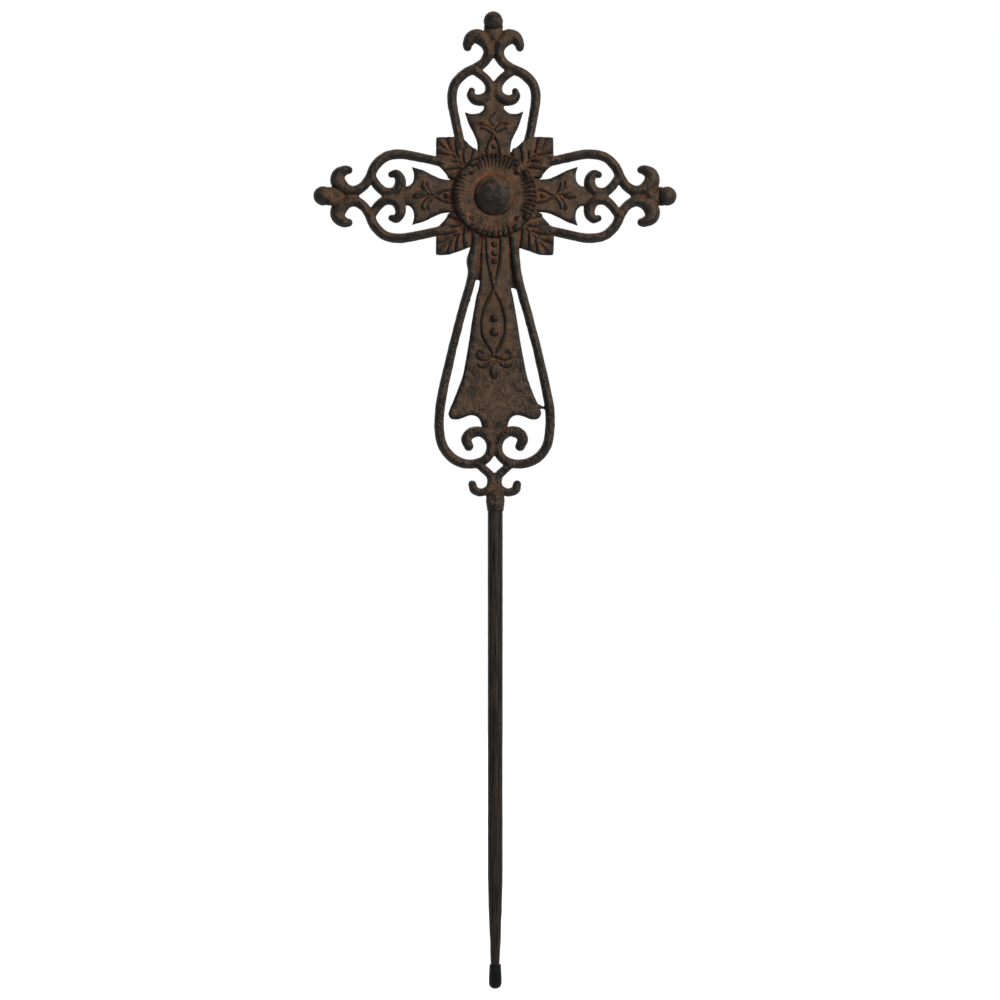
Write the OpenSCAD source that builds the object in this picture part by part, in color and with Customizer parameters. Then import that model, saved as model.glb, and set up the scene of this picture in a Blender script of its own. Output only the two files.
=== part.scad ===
// Garden and grave cross: an openwork Latin cross cast in one piece of iron, welded end on
// to a round steel stake whose drawn-down tip wears a rubber cap.
// Frame: Z up, the cross faces -Y, and the origin is on the stake's axis at the ground line.

/* [Stake] */
// Diameter of the steel rod
rod_d = 12; // [9:0.5:16]
// Length of rod from the ground line up to the cross
rod_above = 232; // [120:1:400]
// Depth of the capped tip below the ground line
rod_below = 150; // [120:1:300]
// Length of the drawn-down end of the rod, measured up from the cap's mouth
taper_l = 70; // [40:1:95]
// Diameter of the rod at the cap's mouth
neck_d = 7.4; // [6:0.1:8.5]
// Diameter of the rod's blunt end inside the cap
nose_d = 6.4; // [4:0.1:7]

/* [Cap] */
// Length of the cap
cap_l = 19.5; // [12:0.5:24]
// Thickness of the cap's floor below the rod
cap_floor = 2.5; // [1.5:0.5:5]
// Wall of the cap at its mouth
cap_wall = 0.9; // [0.6:0.1:2]
// Wall of the cap near its floor, where it is widest
cap_foot_wall = 1.9; // [1.5:0.1:3]
// Clearance between the rod and the inside of the cap
cap_gap = 0.1; // [0.05:0.05:0.3]

/* [Cross] */
// Reach of each side arm, from the cross's centre to the centre of its ball
arm_reach = 138; // [110:1:170]
// Reach of the top arm, from the cross's centre to the centre of its ball
head_reach = 140; // [110:1:170]
// Reach of the long lower arm, from the cross's centre down to the rod
foot_reach = 252; // [205:1:305]
// Width across the two side bars of a short arm
arm_spread = 74; // [62:1:89]
// Width across the two side bars of the lower arm
foot_spread = 96; // [80:1:115]
// Width of the bars and scrolls
bar_w = 7; // [5.5:0.1:8.5]
// Thickness of the bars and scrolls
bar_t = 7; // [5.5:0.1:9]
// Thickness of the flared plates inside the arms
plate_t = 5; // [4:0.1:6]
// Height of the carved relief on plates and leaves
relief_h = 1.4; // [0.8:0.1:2.5]
// Diameter of the ball at the end of each short arm
ball_d = 15.6; // [12:0.1:18]
// Sideways lean of the top ball, as the casting came out of the sand
head_lean = 1; // [0:0.1:2]

/* [Centre] */
// Reach of the four square leaves, from the centre to their sides
leaf_reach = 46.7; // [42:0.1:52]
// Thickness of the leaves
leaf_t = 6; // [4.5:0.1:7]
// Diameter of the fluted rosette
rosette_d = 68; // [58:1:78]
// Height of the rosette's crest above the flat back
crest_h = 9.5; // [8:0.1:12]
// Diameter of the dome in the rosette
dome_d = 34; // [28:0.5:36]
// Height of the dome above the flat back
dome_h = 14; // [11:0.5:18]
// Number of flutes round the rosette
flutes = 40; // [32:4:48]

/* [Foot] */
// Length of the boss that the rod is welded to
boss_l = 17.5; // [12:0.5:24]
// How far the boss swells out beyond the rod
boss_swell = 1.5; // [1:0.1:3]
// Lip that the weld leaves round the rod
weld_lip = 0.3; // [0.1:0.1:1]

/* [Hidden] */

rod_r = rod_d / 2;
tip_z = -rod_below;
nose_z = tip_z + cap_floor;
mouth_z = tip_z + cap_l;
shoulder_z = mouth_z + taper_l;
cross_z = rod_above + foot_reach;
// the flat back of the casting lies this far behind the rod's axis
back_y = bar_t / 2;
steps = 2;

// Outlines are drawn for these lengths and widths, and stretched to the real ones
drawn_leaf = 46.7;
drawn_arm = 138;
drawn_arm_spread = 74;
drawn_foot = 234.5;
drawn_foot_spread = 96;

// Half outlines and centre lines: distance out from the centre, distance to the side and,
// for a bar or a scroll, its width as a share of bar_w
arm_bar = [
    [38, 26, 0.9], [58, 30.6, 0.95], [75, 33.6, 1], [87.5, 31.8, 1], [96.4, 24, 1],
    [101, 14.5, 1], [106, 7.6, 1], [113, 3.9, 1.15], [119.5, 5.6, 1.25], [125.5, 11, 1.6],
    [125.4, 17, 1.4], [120.5, 20.6, 1.05], [118, 21, 0.8]
];
arm_scroll = [
    [99, 15, 0.9], [93, 7.4, 0.95], [87, 3.3, 1], [80.5, 3.6, 1.1], [76.4, 8, 1.2],
    [76, 14, 1.1], [79.2, 18, 0.85], [82.4, 17.6, 0.65]
];
foot_bar = [
    [30, 15, 1], [43, 16, 1], [52, 16.6, 1], [67, 19, 0.95], [98, 27.5, 0.9], [130, 35.8, 0.9],
    [162, 42.6, 1], [177, 44.4, 1], [188, 44.3, 1], [198.6, 42.2, 1], [207, 37, 1],
    [212.4, 29.5, 1], [214.6, 20, 0.95], [212.8, 10.6, 0.95], [207.5, 4.4, 0.95],
    [200, 2.8, 0.95], [193, 5.2, 1], [188.6, 11.4, 1.05], [189.6, 18.6, 1.15],
    [194.4, 22.6, 1.1], [199.6, 21, 0.9]
];
foot_scroll = [
    [214, 13.6, 0.8], [217.6, 9.6, 0.85], [223, 3.6, 0.9], [229, 2.4, 0.9], [234, 4.6, 0.8],
    [237, 10.4, 0.8], [235.4, 16.2, 0.8], [231.6, 18, 0.7]
];
arm_plate_side = [[20, 12.5], [40, 13.4], [48, 16], [57, 20.4], [66.5, 23.5]];
arm_plate_end = [[66.5, 23.5], [64.8, 18], [65.4, 12], [68.5, 8.4], [72, 7.2], [78, 2]];
foot_plate_side = [
    [20, 11], [66, 12], [83, 15.2], [112, 20], [141, 25.2], [157, 30.4], [170, 35.8], [174, 37.2]
];
foot_plate_end = [
    [174, 37.2], [178, 35], [178.6, 29], [175.6, 20], [176.4, 14.6], [180, 11.4], [185, 9.4],
    [196, 0.5]
];
arm_neck = [[112, 1], [120, 6], [128, 8.6], [138, 7]];
foot_neck = [[222, 1], [230, 3], [238, 7]];
leaf_arm_side = [[10, 5], [37.6, 14.4], [38.6, 17], [41.4, 20.6], [46.7, 26], [46.7, 45]];
leaf_foot_side = [[10, 5], [38, 14], [41.4, 20], [44.4, 27], [46.4, 36], [46.4, 45]];

// Relief, drawn the same way and with the same shares of bar_w
arm_stem = [[34, 5, 0.3], [40, 4.2, 0.3], [45, 1.8, 0.3], [48.8, 0, 0.3], [52, 3.4, 0.35]];
foot_stems = [
    [[34, 6, 0.3], [48, 5.4, 0.35], [56, 4.2, 0.35], [65, 2, 0.35], [74, 0, 0.35],
     [86, -6.1, 0.4], [95, -8.6, 0.4], [103, -9.3, 0.4], [111, -8.6, 0.4], [119, -5, 0.4],
     [126, 0, 0.4]],
    [[126, 0, 0.35], [130, 3.4, 0.4], [131, 7.6, 0.4], [129, 11.6, 0.4], [125, 12.6, 0.35],
     [123.4, 9.6, 0.3]]
];
foot_beads = [[38.6, 2.4], [45.8, 2.4], [52.5, 2.4], [98, 3.2], [109, 3.6]];

// Sections of a rounded bar, of a flatter scroll and of a thin relief line: share of half
// width, share of height
bar_section = [[1, 0], [0.85, 0.65], [0, 1], [-0.85, 0.65], [-1, 0]];
scroll_section = [[1, 0], [0.7, 0.88], [-0.7, 0.88], [-1, 0]];
line_section = [[1, 0], [0, 1], [-1, 0]];

// A point on the Catmull-Rom curve between control points i and i + 1
function curve_point(p, i, t) =
    let (a = p[max(i - 1, 0)], b = p[i], c = p[i + 1], d = p[min(i + 2, len(p) - 1)])
    b + ((c - a) * t + (2 * a - 5 * b + 4 * c - d) * t ^ 2 + (3 * b - 3 * c + d - a) * t ^ 3) / 2;

function curve(p, n) = concat(
    [for (i = [0 : len(p) - 2], k = [0 : n - 1]) curve_point(p, i, k / n)],
    [p[len(p) - 1]]);

function both_sides(p) = concat(p, [for (i = [len(p) - 1 : -1 : 0]) [p[i].x, -p[i].y]]);

// Stretch a drawn distance from the centre: the part beyond the leaves takes up the length
function stretched(u, drawn, reach) =
    u < drawn_leaf ? u * leaf_reach / drawn_leaf
    : leaf_reach + (u - drawn_leaf) * (reach - leaf_reach) / (drawn - drawn_leaf);

function placed(q, u, v) = len(q) == 2 ? [u, v] : [u, v, q[2]];

function on_arm(p, reach) = [for (q = p)
    placed(q, stretched(q.x, drawn_arm, reach), q.y * arm_spread / drawn_arm_spread)];

function foot_u(u) = stretched(u, drawn_foot, foot_reach - boss_l);

function on_foot(p) = [for (q = p) placed(q, foot_u(q.x), q.y * foot_spread / drawn_foot_spread)];

function direction(a, b) = [b.x - a.x, b.y - a.y] / norm([b.x - a.x, b.y - a.y]);

// A path with a blunt tip added beyond its last point
function with_tip(p) =
    let (b = p[len(p) - 1], d = direction(p[len(p) - 2], b) * b[2] * bar_w)
    concat(p, [[b.x + 0.4 * d.x, b.y + 0.4 * d.y, 0.5 * b[2]]]);

// A section swept along a path that lies flat, as wide as the path says
module swept(path, section, height) {
    n = len(path);
    m = len(section);
    points = [for (i = [0 : n - 1])
        let (d = direction(path[max(i - 1, 0)], path[min(i + 1, n - 1)]),
             half = path[i][2] * bar_w / 2)
        for (q = section)
            [path[i].x + d.y * half * q.x, path[i].y - d.x * half * q.x, height * q.y]];
    sides = [for (i = [0 : n - 2], j = [0 : m - 1])
        let (a = i * m + j, b = i * m + (j + 1) % m)
        for (f = [[a, b, b + m], [a, b + m, a + m]]) f];
    ends = [[for (j = [m - 1 : -1 : 0]) j], [for (j = [0 : m - 1]) (n - 1) * m + j]];
    polyhedron(points, concat(sides, ends));
}

module mirrored_pair() {
    children();
    mirror([0, 1, 0]) children();
}

// A carved rib with sloping sides between two points on a surface
module rib(a, b, width_a, width_b, height) {
    hull() {
        translate(a) cylinder(h = height, d1 = width_a, d2 = width_a / 4, $fn = 4);
        translate(b) cylinder(h = height * 0.7, d1 = width_b, d2 = width_b / 4, $fn = 4);
    }
}

// Two leaves and a bud, carved on a plate at distance u
module palmette(u, size, base) {
    rib([u + 1.5 * size, 0, base], [u + 4.5 * size, 0, base], size * 1.8, size, relief_h);
    mirrored_pair() {
        rib([u, 0, base], [u + 1.4 * size, 2 * size, base], size, size * 1.3, relief_h);
        rib([u + 1.4 * size, 2 * size, base], [u + 0.8 * size, 3.3 * size, base],
            size * 1.3, size * 0.6, relief_h);
    }
}

module plate(outline) {
    linear_extrude(plate_t) polygon(both_sides(outline));
}

module short_arm(reach, lean) {
    base = plate_t - 0.3;
    mirrored_pair() {
        swept(with_tip(curve(on_arm(arm_bar, reach), steps)), bar_section, bar_t);
        swept(with_tip(curve(on_arm(arm_scroll, reach), steps)), scroll_section, bar_t);
        translate([0, 0, base]) swept(on_arm(arm_stem, reach), line_section, relief_h);
    }
    plate(on_arm(concat(curve(arm_plate_side, steps), curve(arm_plate_end, steps)), reach));
    plate(on_arm(arm_neck, reach));
    palmette(stretched(51, drawn_arm, reach), 2.8, base);
    translate([reach, lean, bar_t / 2]) sphere(d = ball_d, $fn = 12);
}

module foot_arm() {
    base = plate_t - 0.3;
    mirrored_pair() {
        swept(with_tip(curve(on_foot(foot_bar), steps)), bar_section, bar_t);
        swept(with_tip(curve(on_foot(foot_scroll), steps)), scroll_section, bar_t);
        for (stem = foot_stems)
            translate([0, 0, base]) swept(on_foot(stem), line_section, relief_h);
    }
    plate(on_foot(concat(curve(foot_plate_side, steps), curve(foot_plate_end, steps))));
    // the strands run into the boss, as far as its middle
    plate(concat(on_foot(foot_neck), [[foot_reach - boss_l / 2, rod_r]]));
    palmette(foot_u(133), 3, base);
    for (bead = foot_beads)
        translate([foot_u(bead[0]), 0, plate_t])
            sphere(r = bead[1], $fn = 6);
}

// One square leaf on the diagonal between two arms, with its midrib and side veins
module leaf(right_side, left_side) {
    k = leaf_reach / drawn_leaf;
    left = [for (i = [len(left_side) - 1 : -1 : 0]) [left_side[i].y, left_side[i].x]];
    linear_extrude(leaf_t) polygon(concat([[0, 0]], right_side, [[45.8, 45.8]], left) * k);
    translate([0, 0, leaf_t - 0.4]) rotate([0, 0, 45]) {
        rib([30 * k, 0, 0], [60 * k, 0, 0], 7, 4, relief_h);
        mirrored_pair() for (i = [0 : 2])
            rib([(31 + 7 * i) * k, 2, 0], [(41 + 7 * i) * k, (12.6 - 2.6 * i) * k, 0],
                6.5, 4.5, relief_h);
    }
}

// The ring of flutes: one profile carried round, its crest dipping between flutes
module fluted_ring() {
    r = rosette_d / 2;
    inner = dome_d / 2 - 1.5;
    width = r - inner;
    // distance from the axis, height as a share of the crest, share of the dip between flutes
    profile = [
        [inner, 0, 0], [r, 0, 0], [r, 0.6, 0.4], [r - 0.2 * width, 1, 1],
        [r - 0.68 * width, 0.66, 0],
        [r - 0.8 * width, 0.76, 0]
    ];
    m = len(profile);
    n = 2 * flutes;
    flute_dip = 1.2;
    points = [for (i = [0 : n - 1])
        let (turn = 360 * i / n, dip = flute_dip * (i % 2))
        for (q = profile)
            let (out = q[0] - (q[0] > r - 0.1 * width ? dip * q[2] / 2 : 0))
            [out * cos(turn), out * sin(turn), crest_h * q[1] - dip * q[2]]];
    faces = [for (i = [0 : n - 1], j = [0 : m - 1])
        let (a = i * m + j, b = i * m + (j + 1) % m, step = (i == n - 1 ? -(n - 1) : 1) * m)
        for (f = [[a, b, b + step], [a, b + step, a + step]]) f];
    polyhedron(points, faces);
}

module rosette() {
    bead_r = rosette_d / 24;
    // turned a little, so that none of its edges runs along an edge of the ring
    dome_turn = 2;
    fluted_ring();
    rotate([0, 0, dome_turn]) scale([dome_d / 2, dome_d / 2, dome_h]) sphere(r = 1, $fn = 20);
    for (corner = [45 : 90 : 315], side = [-5.5, 5.5])
        rotate([0, 0, corner + side])
            translate([rosette_d * 0.42, 0, crest_h - 1]) sphere(r = bead_r, $fn = 6);
}

// Iron that ran between the lower plate and its side bars, and a thin flash that joins the
// plate's right tip to the bar
module casting_faults() {
    fill_t = plate_t - 1;
    flash_w = 2;
    left_fill = on_foot([[30, -8], [30, -16], [60, -17.6], [66, -15], [62, -10]]);
    right_fill = on_foot([[30, 8], [30, 16], [67, 19], [73, 18], [70, 11]]);
    for (fill = [left_fill, right_fill])
        linear_extrude(fill_t) polygon(fill);
    flash = on_foot([[169, 34], [169.5, 43]]);
    hull() for (q = flash) translate([q[0], q[1], fill_t / 2]) sphere(d = flash_w, $fn = 8);
}

// The boss at the foot: an ogive a little fatter than the rod, round about the rod's axis
module boss() {
    lip_r = rod_r + weld_lip;
    fat_r = rod_r + boss_swell;
    rise = [for (a = [0 : 18 : 90]) [fat_r * cos(a), boss_l * (0.5 + 0.5 * sin(a))]];
    rotate_extrude($fn = 24)
        polygon(concat([[0, 0], [lip_r, 0], [lip_r, 0.1 * boss_l]], rise));
}

module cross() {
    color([0.25, 0.2, 0.17])
    translate([0, 0, cross_z]) {
        translate([0, back_y, 0]) rotate([90, 0, 0]) difference() {
            union() {
                short_arm(arm_reach, 0);
                rotate([0, 0, 90]) short_arm(head_reach, head_lean);
                rotate([0, 0, 180]) short_arm(arm_reach, 0);
                rotate([0, 0, -90]) foot_arm();
                rotate([0, 0, -90]) casting_faults();
                leaf(leaf_arm_side, leaf_arm_side);
                rotate([0, 0, 90]) leaf(leaf_arm_side, leaf_arm_side);
                rotate([0, 0, 180]) leaf(leaf_arm_side, leaf_foot_side);
                rotate([0, 0, 270]) leaf(leaf_foot_side, leaf_arm_side);
                rosette();
            }
            // everything is cast against a flat back
            translate([-400, -400, -100]) cube([800, 800, 100]);
        }
        translate([0, 0, -foot_reach]) boss();
    }
}

// The steel rod: straight down to the shoulder, drawn down in a gentle curve to the neck,
// then on into the cap, where its nose is blunt and rounded
module rod() {
    neck_r = neck_d / 2;
    nose_r = nose_d / 2;
    edge = 1;
    taper = [for (t = [1 : -0.125 : 0])
        [neck_r + (rod_r - neck_r) * (t + sin(90 * t)) / 2, mouth_z + taper_l * t]];
    color([0.2, 0.18, 0.15])
    rotate_extrude($fn = 64)
        polygon(concat(
            [[0, rod_above], [rod_r, rod_above]],
            taper,
            [[nose_r, nose_z + edge], [nose_r - edge, nose_z], [0, nose_z]]));
}

// The rubber cap: its bore follows the rod's taper, its outside swells towards a round floor
module cap() {
    neck_r = neck_d / 2;
    nose_r = nose_d / 2;
    edge = 1;
    foot_r = nose_r + cap_gap + cap_foot_wall;
    mouth_r = neck_r + cap_gap + cap_wall;
    foot_z = tip_z + 0.38 * cap_l;
    // the floor is rounded as far as its width allows
    round_r = min(0.25 * cap_l, 0.95 * foot_r);
    bottom = [for (a = [-90 : 15 : 0])
        [foot_r - round_r + round_r * cos(a), tip_z + round_r + round_r * sin(a)]];
    bore = [[neck_r + cap_gap, mouth_z], [nose_r + cap_gap, nose_z + edge],
            [nose_r - edge + cap_gap, nose_z], [0, nose_z]];
    color([0.08, 0.08, 0.09])
    rotate_extrude($fn = 64)
        polygon(concat([[0, tip_z]], bottom, [[foot_r, foot_z], [mouth_r, mouth_z]], bore));
}

cross();
rod();
cap();
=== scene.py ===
"""The looks of a garden and grave cross: an openwork iron casting, welded to a round steel
stake whose drawn-down tip wears a rubber cap.

The casting is a solid field, worked out in slices parallel to its flat back and then meshed.
The rod and the cap are turned shapes. Lengths are in millimetres until a mesh is made."""
import math

import bmesh
import bpy
import numpy as np
import openvdb
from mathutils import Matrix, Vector

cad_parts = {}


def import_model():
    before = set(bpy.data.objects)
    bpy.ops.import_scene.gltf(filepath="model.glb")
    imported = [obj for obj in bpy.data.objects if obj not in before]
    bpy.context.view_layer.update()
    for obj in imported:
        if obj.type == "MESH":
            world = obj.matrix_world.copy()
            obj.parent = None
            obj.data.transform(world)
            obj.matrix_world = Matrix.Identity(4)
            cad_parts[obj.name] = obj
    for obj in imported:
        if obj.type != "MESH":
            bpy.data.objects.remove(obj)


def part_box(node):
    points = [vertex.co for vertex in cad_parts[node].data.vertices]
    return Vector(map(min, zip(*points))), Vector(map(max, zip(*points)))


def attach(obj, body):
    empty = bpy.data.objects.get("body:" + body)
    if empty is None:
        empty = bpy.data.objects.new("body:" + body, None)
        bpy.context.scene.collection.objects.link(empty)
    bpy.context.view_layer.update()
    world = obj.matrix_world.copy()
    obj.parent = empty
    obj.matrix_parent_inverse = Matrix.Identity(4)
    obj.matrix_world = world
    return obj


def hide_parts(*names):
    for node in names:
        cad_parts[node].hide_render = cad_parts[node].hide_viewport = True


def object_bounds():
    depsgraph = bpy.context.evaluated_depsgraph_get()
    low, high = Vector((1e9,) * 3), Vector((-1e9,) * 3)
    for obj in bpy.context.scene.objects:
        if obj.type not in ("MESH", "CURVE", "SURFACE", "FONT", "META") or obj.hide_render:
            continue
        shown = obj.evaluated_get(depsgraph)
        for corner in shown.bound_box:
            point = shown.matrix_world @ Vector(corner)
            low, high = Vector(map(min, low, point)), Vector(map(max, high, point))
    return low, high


MM = 0.001

# Sizes of the casting that the frame doesn't give. Those that end in T are heights above the
# flat back, which lies at BACK_Y.
BAR_W = 7.9
BAR_T = 7
TAIL_T = 6
BACK_Y = 3.5
PLATE_T = 5
LEAF_T = 4.2
FILL_T = 2.3
FLASH_T = 9
SWELLING_T = 8
BALL_R = 7.7
BALL_OUT = 137.8
# The top arm is a little longer than the others, and its ball leans to one side
HEAD_EXTRA = 2
HEAD_LEAN = 1.3
# The pattern sits a little to the left of the rod's axis
SHIFT = -0.5
BOSS_L = 17.5
BOSS_R = 7.48
WELD_R = 6.1
WELD_BEAD_R = 0.6

# The rosette: its rim, its dome, the dish round the dome and the dish's two raised rings,
# each with its distance out and its width
ROSETTE_R = 34
DOME_R = 16.7
DOME_T = 13.7
DOME_FOOT_T = 5
DISH_T = 5.4
DISH_RING_H = 0.5
DISH_RINGS = [(17.6, 0.5), (20, 1)]
CREST_H = 4.6
# Flutes in each quarter, and the beads on each diagonal: turn in degrees, distance out, radius
FLUTES = [13, 14, 14, 11]
TREFOIL = [(0, 26.4, 2.4), (-10.5, 31, 3), (10.5, 31, 3)]

# The rod's hammered end and the cap
NECK_R = 3.65
NOSE_R = 3.2
TAPER_L = 70
CAP_WALL = 0.85
CAP_MOUTH_R = 4.65
CAP_FLOOR_ROUND = 4.6

# Half outlines and centre lines of the pattern: distance out from the cross's centre,
# distance to the side and, for a bar or a ridge, its width as a share of BAR_W
ARM_BAR = [
    (38, 26, 0.9), (58, 30.6, 0.95), (75, 33.6, 1), (87.5, 31.8, 1), (96.4, 24, 1),
    (101, 14.5, 1), (106, 7.6, 1), (113, 3.9, 1.15), (119.5, 5.6, 1.25), (125.5, 11, 1.6),
    (125.4, 17, 1.4), (120.5, 20.6, 1.05), (117.4, 21, 0.85)]
ARM_SCROLL = [
    (99, 15, 0.9), (93.4, 7.2, 0.95), (87.6, 3.2, 1), (80.5, 3.6, 1.1), (76.4, 8, 1.2),
    (76, 14, 1.1), (79.2, 18, 0.9), (83, 17.4, 0.7)]
FOOT_BAR = [
    (30, 15, 1), (43, 16, 1), (52, 16.6, 1), (67, 19, 0.95), (98, 27.5, 0.9), (130, 35.8, 0.9),
    (162, 42.6, 1), (177, 44.4, 1), (188, 44.3, 1), (198.6, 42.2, 1), (207, 37, 1),
    (212.4, 29.5, 1), (214.6, 20, 0.95), (212.8, 10.6, 0.95), (207.5, 4.4, 0.95),
    (200, 2.8, 0.95), (193, 5.2, 1), (188.6, 11.4, 1.05), (189.6, 18.6, 1.15),
    (194.4, 22.6, 1.1), (200.4, 20.6, 1)]
FOOT_SCROLL = [
    (214, 13.6, 0.8), (217.6, 9.6, 0.85), (223, 3.6, 0.9), (229, 2.4, 0.9), (234, 4.6, 0.8),
    (237, 10.4, 0.85), (235.2, 16.2, 0.9), (230.8, 17.8, 0.85)]
ARM_PLATE_SIDE = [(20, 12.5), (40, 13.4), (48, 16), (57, 20.4), (66.5, 23.5)]
ARM_PLATE_END = [(66.5, 23.5), (64.8, 18), (65.4, 12), (68.5, 8.4), (72, 7.2), (78, 2)]
FOOT_PLATE_SIDE = [
    (20, 11), (66, 12), (83, 15.2), (112, 20), (141, 25.2), (157, 30.4), (170, 35.8),
    (174, 37.2)]
FOOT_PLATE_END = [
    (174, 37.2), (178, 35), (178.6, 29), (175.6, 20), (176.4, 14.6), (180, 11.4), (185, 9.4),
    (196, 0.5)]
ARM_TAIL = [(119, 0, 0.3), (123.5, 0, 1), (127.5, 0, 1.8), (133, 0, 1.95)]
FOOT_NECK = [(222, 1), (230, 3), (238, 7), (244, 6)]
LEAF_ARM_SIDE = [(10, 5), (37.6, 14.4), (38.6, 17), (41.4, 20.6), (47.1, 26), (47.1, 44)]
LEAF_CORNER = (46.8, 46.8)
LEAF_FOOT_SIDE = [(10, 5), (38, 14), (41, 20), (43.8, 27), (47, 36), (47.3, 44)]

# Ridges carved on the arms' plates: an eye with a pupil, two volutes, two leaves and a bud
ARM_RIDGES = [
    [(34, 5.2, 0.3), (40, 4.4, 0.32), (45, 1.9, 0.32), (49, 0.2, 0.3)],
    [(49, 0.2, 0.3), (51.4, 3.6, 0.4), (53, 6.4, 0.42), (53.4, 10, 0.3)],
    [(52.4, 1.4, 0.3), (55.4, 4.6, 0.45), (57, 8, 0.5), (56.8, 11, 0.28)]]
ARM_BUD = [(56, 1.2, 0.4), (58.4, 1, 0.8), (60.6, 0.4, 0.85), (63, -0.4, 0.6), (65, -1, 0.25)]
ARM_BEADS = [(38.8, 2.3)]
ARM_RIDGE_H = 1.9
ARM_BUD_H = 2.1
ARM_BEAD_H = 2
# The same on the lower plate, where the ridges cross and part again round a lens
FOOT_RIDGES = [
    [(34, 6, 0.36), (48, 5.4, 0.38), (56, 4.2, 0.38), (65, 2, 0.38), (74, 0, 0.38),
     (86, -6.1, 0.42), (95, -8.6, 0.44), (103, -9.3, 0.46), (111, -8.6, 0.46),
     (119, -5, 0.44), (127, 0, 0.4)],
    [(127, 0, 0.38), (128.8, 3.6, 0.46), (130, 8, 0.52), (128.8, 12.2, 0.5),
     (126, 13.4, 0.44), (124, 11.8, 0.38), (124.8, 9.6, 0.3)],
    [(132.4, 1.4, 0.28), (133.4, 4, 0.4), (135.6, 7.6, 0.5), (136, 10.6, 0.44),
     (134.8, 12.8, 0.28)]]
FOOT_BUD = [(134, 0, 0.4), (136.6, 0, 0.95), (139.4, 0, 1.15), (142.6, 0, 0.85), (146, 0, 0.2)]
FOOT_VEIN = [(135.6, 0, 0.3), (142, 0, 0.25)]
FOOT_BEADS = [(38.6, 2.5), (45.8, 2.5), (52.5, 2.4), (98, 3.4), (109, 3.6), (117, 0.9)]
FOOT_RIDGE_H = 2
FOOT_BUD_H = 2.3
FOOT_VEIN_H = 0.7
# Lobes of one half of a leaf, along and across the diagonal that its midrib follows
LEAF_LOBES = [
    [(30, 6.5, 0.4), (33.4, 10.4, 0.58), (36, 14.6, 0.55), (38, 18.4, 0.35)],
    [(34.6, 2, 0.3), (39.4, 6.2, 0.56), (43, 10.8, 0.62), (46, 15.6, 0.55)],
    [(41.4, 1.8, 0.3), (46.4, 5.4, 0.56), (50.4, 9, 0.62), (54, 12.6, 0.5)],
    [(48.6, 1.6, 0.3), (53.4, 4, 0.5), (57.2, 6.4, 0.55), (60, 7.6, 0.4)]]
LEAF_MIDRIB = [(33, 0, 0.26), (44, 0, 0.24), (52, 0, 0.26), (58, 0, 0.5), (63, 0, 0.5)]
LOBE_H = 2
MIDRIB_H = 1.3

# Faults of the casting on the lower arm, by side: -1 is left and 1 is right. A burr has its
# distance out, its distance to the side and its radius.
WEB_FILLS = {
    -1: [(30, 8), (30, 16), (60, 17.6), (66.5, 15.6), (67, 12.6), (63, 10)],
    1: [(30, 8), (30, 16), (67, 19), (75, 18.6), (73.5, 12.4), (70, 10)]}
FLASH = {1: [(168.6, 35, 0.5), (169.4, 38.6, 0.3), (169.6, 43, 0.45)]}
SWELLING = {-1: [(44, 18.4, 0.6), (52, 19.2, 0.9), (60, 19, 0.6)]}
BURRS = {-1: [(83, 20.2, 1.2), (66, 17.6, 1)], 1: [(102.2, 26.2, 1.3), (192.4, 15.2, 1)]}
# Shallow winding grooves on the boss
BOSS_FOLDS = [
    [(241.2, -3.7, 0.24), (244.5, -1.4, 0.2), (244.5, 1.9, 0.2), (242.1, 6.2, 0.24)],
    [(244.5, -1.1, 0.2), (250.1, -4.2, 0.24)]]

# The grid on which the casting is worked out: its step, how far behind the back it starts and
# how far from the skin the field is kept
CELL = 0.5
BEHIND = 5
MARGIN = 2
FAR = 1.5
TRIANGLES = 190000


def smooth_min(a, b, k):
    mix = np.clip(0.5 + 0.5 * (b - a) / k, 0, 1)
    return b + (a - b) * mix - k * mix * (1 - mix)


def smooth_max(a, b, k):
    return -smooth_min(-a, -b, k)


def smooth_step(low, high, x):
    t = np.clip((x - low) / (high - low), 0, 1)
    return t * t * (3 - 2 * t)


def curve(points, spacing=0.6):
    """Points close together on the Catmull-Rom curve through the given ones."""
    p = np.array(points, float)
    p = np.vstack([2 * p[0] - p[1], p, 2 * p[-1] - p[-2]])
    made = []
    for a, b, c, d in zip(p, p[1:], p[2:], p[3:]):
        count = max(2, round(np.hypot(*(c - b)[:2]) / spacing))
        t = np.arange(count)[:, None] / count
        made.append(b + ((c - a) * t + (2 * a - 5 * b + 4 * c - d) * t ** 2
                         + (3 * b - 3 * c + d - a) * t ** 3) / 2)
    return np.vstack([*made, p[-2:-1]])


def both_sides(half):
    """A whole outline from its half on one side."""
    return np.vstack([half, (half * (1, -1))[::-1]])


def value_noise(x, y, z, size, seed):
    """Smooth noise from -1 to 1 whose lumps are about as large as size."""
    n = 32
    lattice = np.random.default_rng(seed).uniform(-1, 1, (n, n, n)).astype(np.float32)
    cells, shares = [], []
    for v in (x, y, z):
        v = v / size
        low = np.floor(v)
        cells.append(low.astype(int) % n)
        t = v - low
        shares.append(t * t * (3 - 2 * t))
    total = 0
    for corner in range(8):
        bits = [corner >> k & 1 for k in range(3)]
        weight = 1
        for bit, t in zip(bits, shares):
            weight = weight * (t if bit else 1 - t)
        i, j, k = [(c + bit) % n for c, bit in zip(cells, bits)]
        total = total + weight * lattice[i, j, k]
    return total


def along(path, u, v):
    """How far each place is from a ridge's centre line, as a share of its half width there,
    and that half width."""
    share = np.full(u.shape, 99.0)
    half = np.ones(u.shape)
    for pu, pv, width in curve(path):
        reach = width * BAR_W / 2
        away = np.hypot(u - pu, v - pv) / reach
        closer = away < share
        share = np.where(closer, away, share)
        half = np.where(closer, reach, half)
    return share, half


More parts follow.
